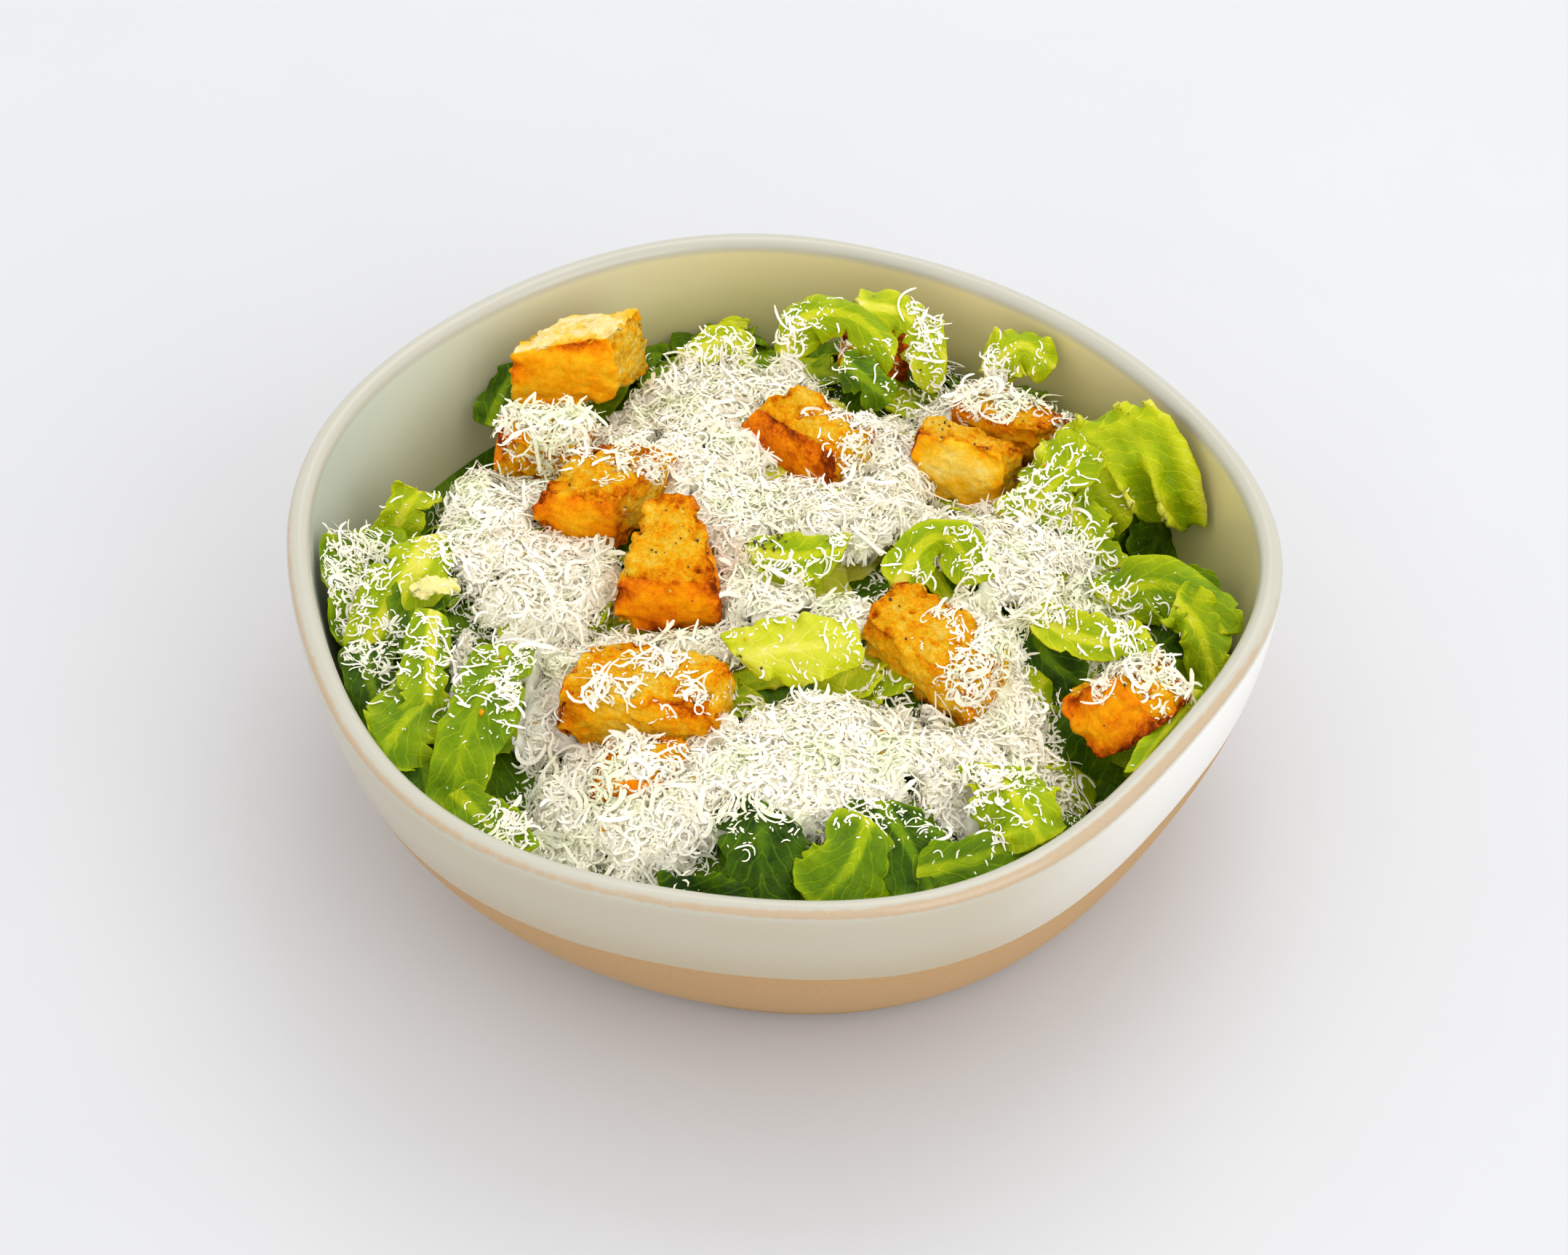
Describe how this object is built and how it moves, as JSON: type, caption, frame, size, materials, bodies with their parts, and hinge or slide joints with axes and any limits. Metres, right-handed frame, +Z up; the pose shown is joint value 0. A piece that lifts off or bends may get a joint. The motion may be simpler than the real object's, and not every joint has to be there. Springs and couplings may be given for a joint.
{
  "type": "caesar salad in a bowl",
  "caption": "Caesar salad in a hand-formed glazed stoneware bowl: lettuce leaves under a heap of finely grated hard cheese, with toasted bread croutons.",
  "frame": {"origin": "middle of the bowl's box, on the flat face of its foot, so the part stands on the plane z = 0", "axes": "+Z up out of the bowl, +Y towards the back of the bowl as it is served, +X to its right"},
  "size_m": [0.21, 0.207, 0.0765],
  "materials": {
    "glazed_stoneware": "glossy pale celadon glaze over tan stoneware clay, which is bare below a dipped line and shows through on the lip",
    "lettuce_leaf": "crisp leaf, satin, from yellow-green heart leaves to deep green outer leaves",
    "hard_cheese": "fine dry shreds of pale hard cheese, soft and slightly translucent",
    "toasted_bread": "pan-fried bread, golden crumb and darker crisp crust, matt with a little oil"
  },
  "bodies": {
    "root": {"bowl": "glazed_stoneware", "lettuce": "lettuce_leaf", "grated_cheese": "hard_cheese", "crouton_01": "toasted_bread", "crouton_02": "toasted_bread", "crouton_03": "toasted_bread", "crouton_04": "toasted_bread", "crouton_05": "toasted_bread", "crouton_06": "toasted_bread", "crouton_07": "toasted_bread", "crouton_08": "toasted_bread", "crouton_09": "toasted_bread", "crouton_10": "toasted_bread", "crouton_11": "toasted_bread", "crouton_12": "toasted_bread"}
  },
  "joints": []
}
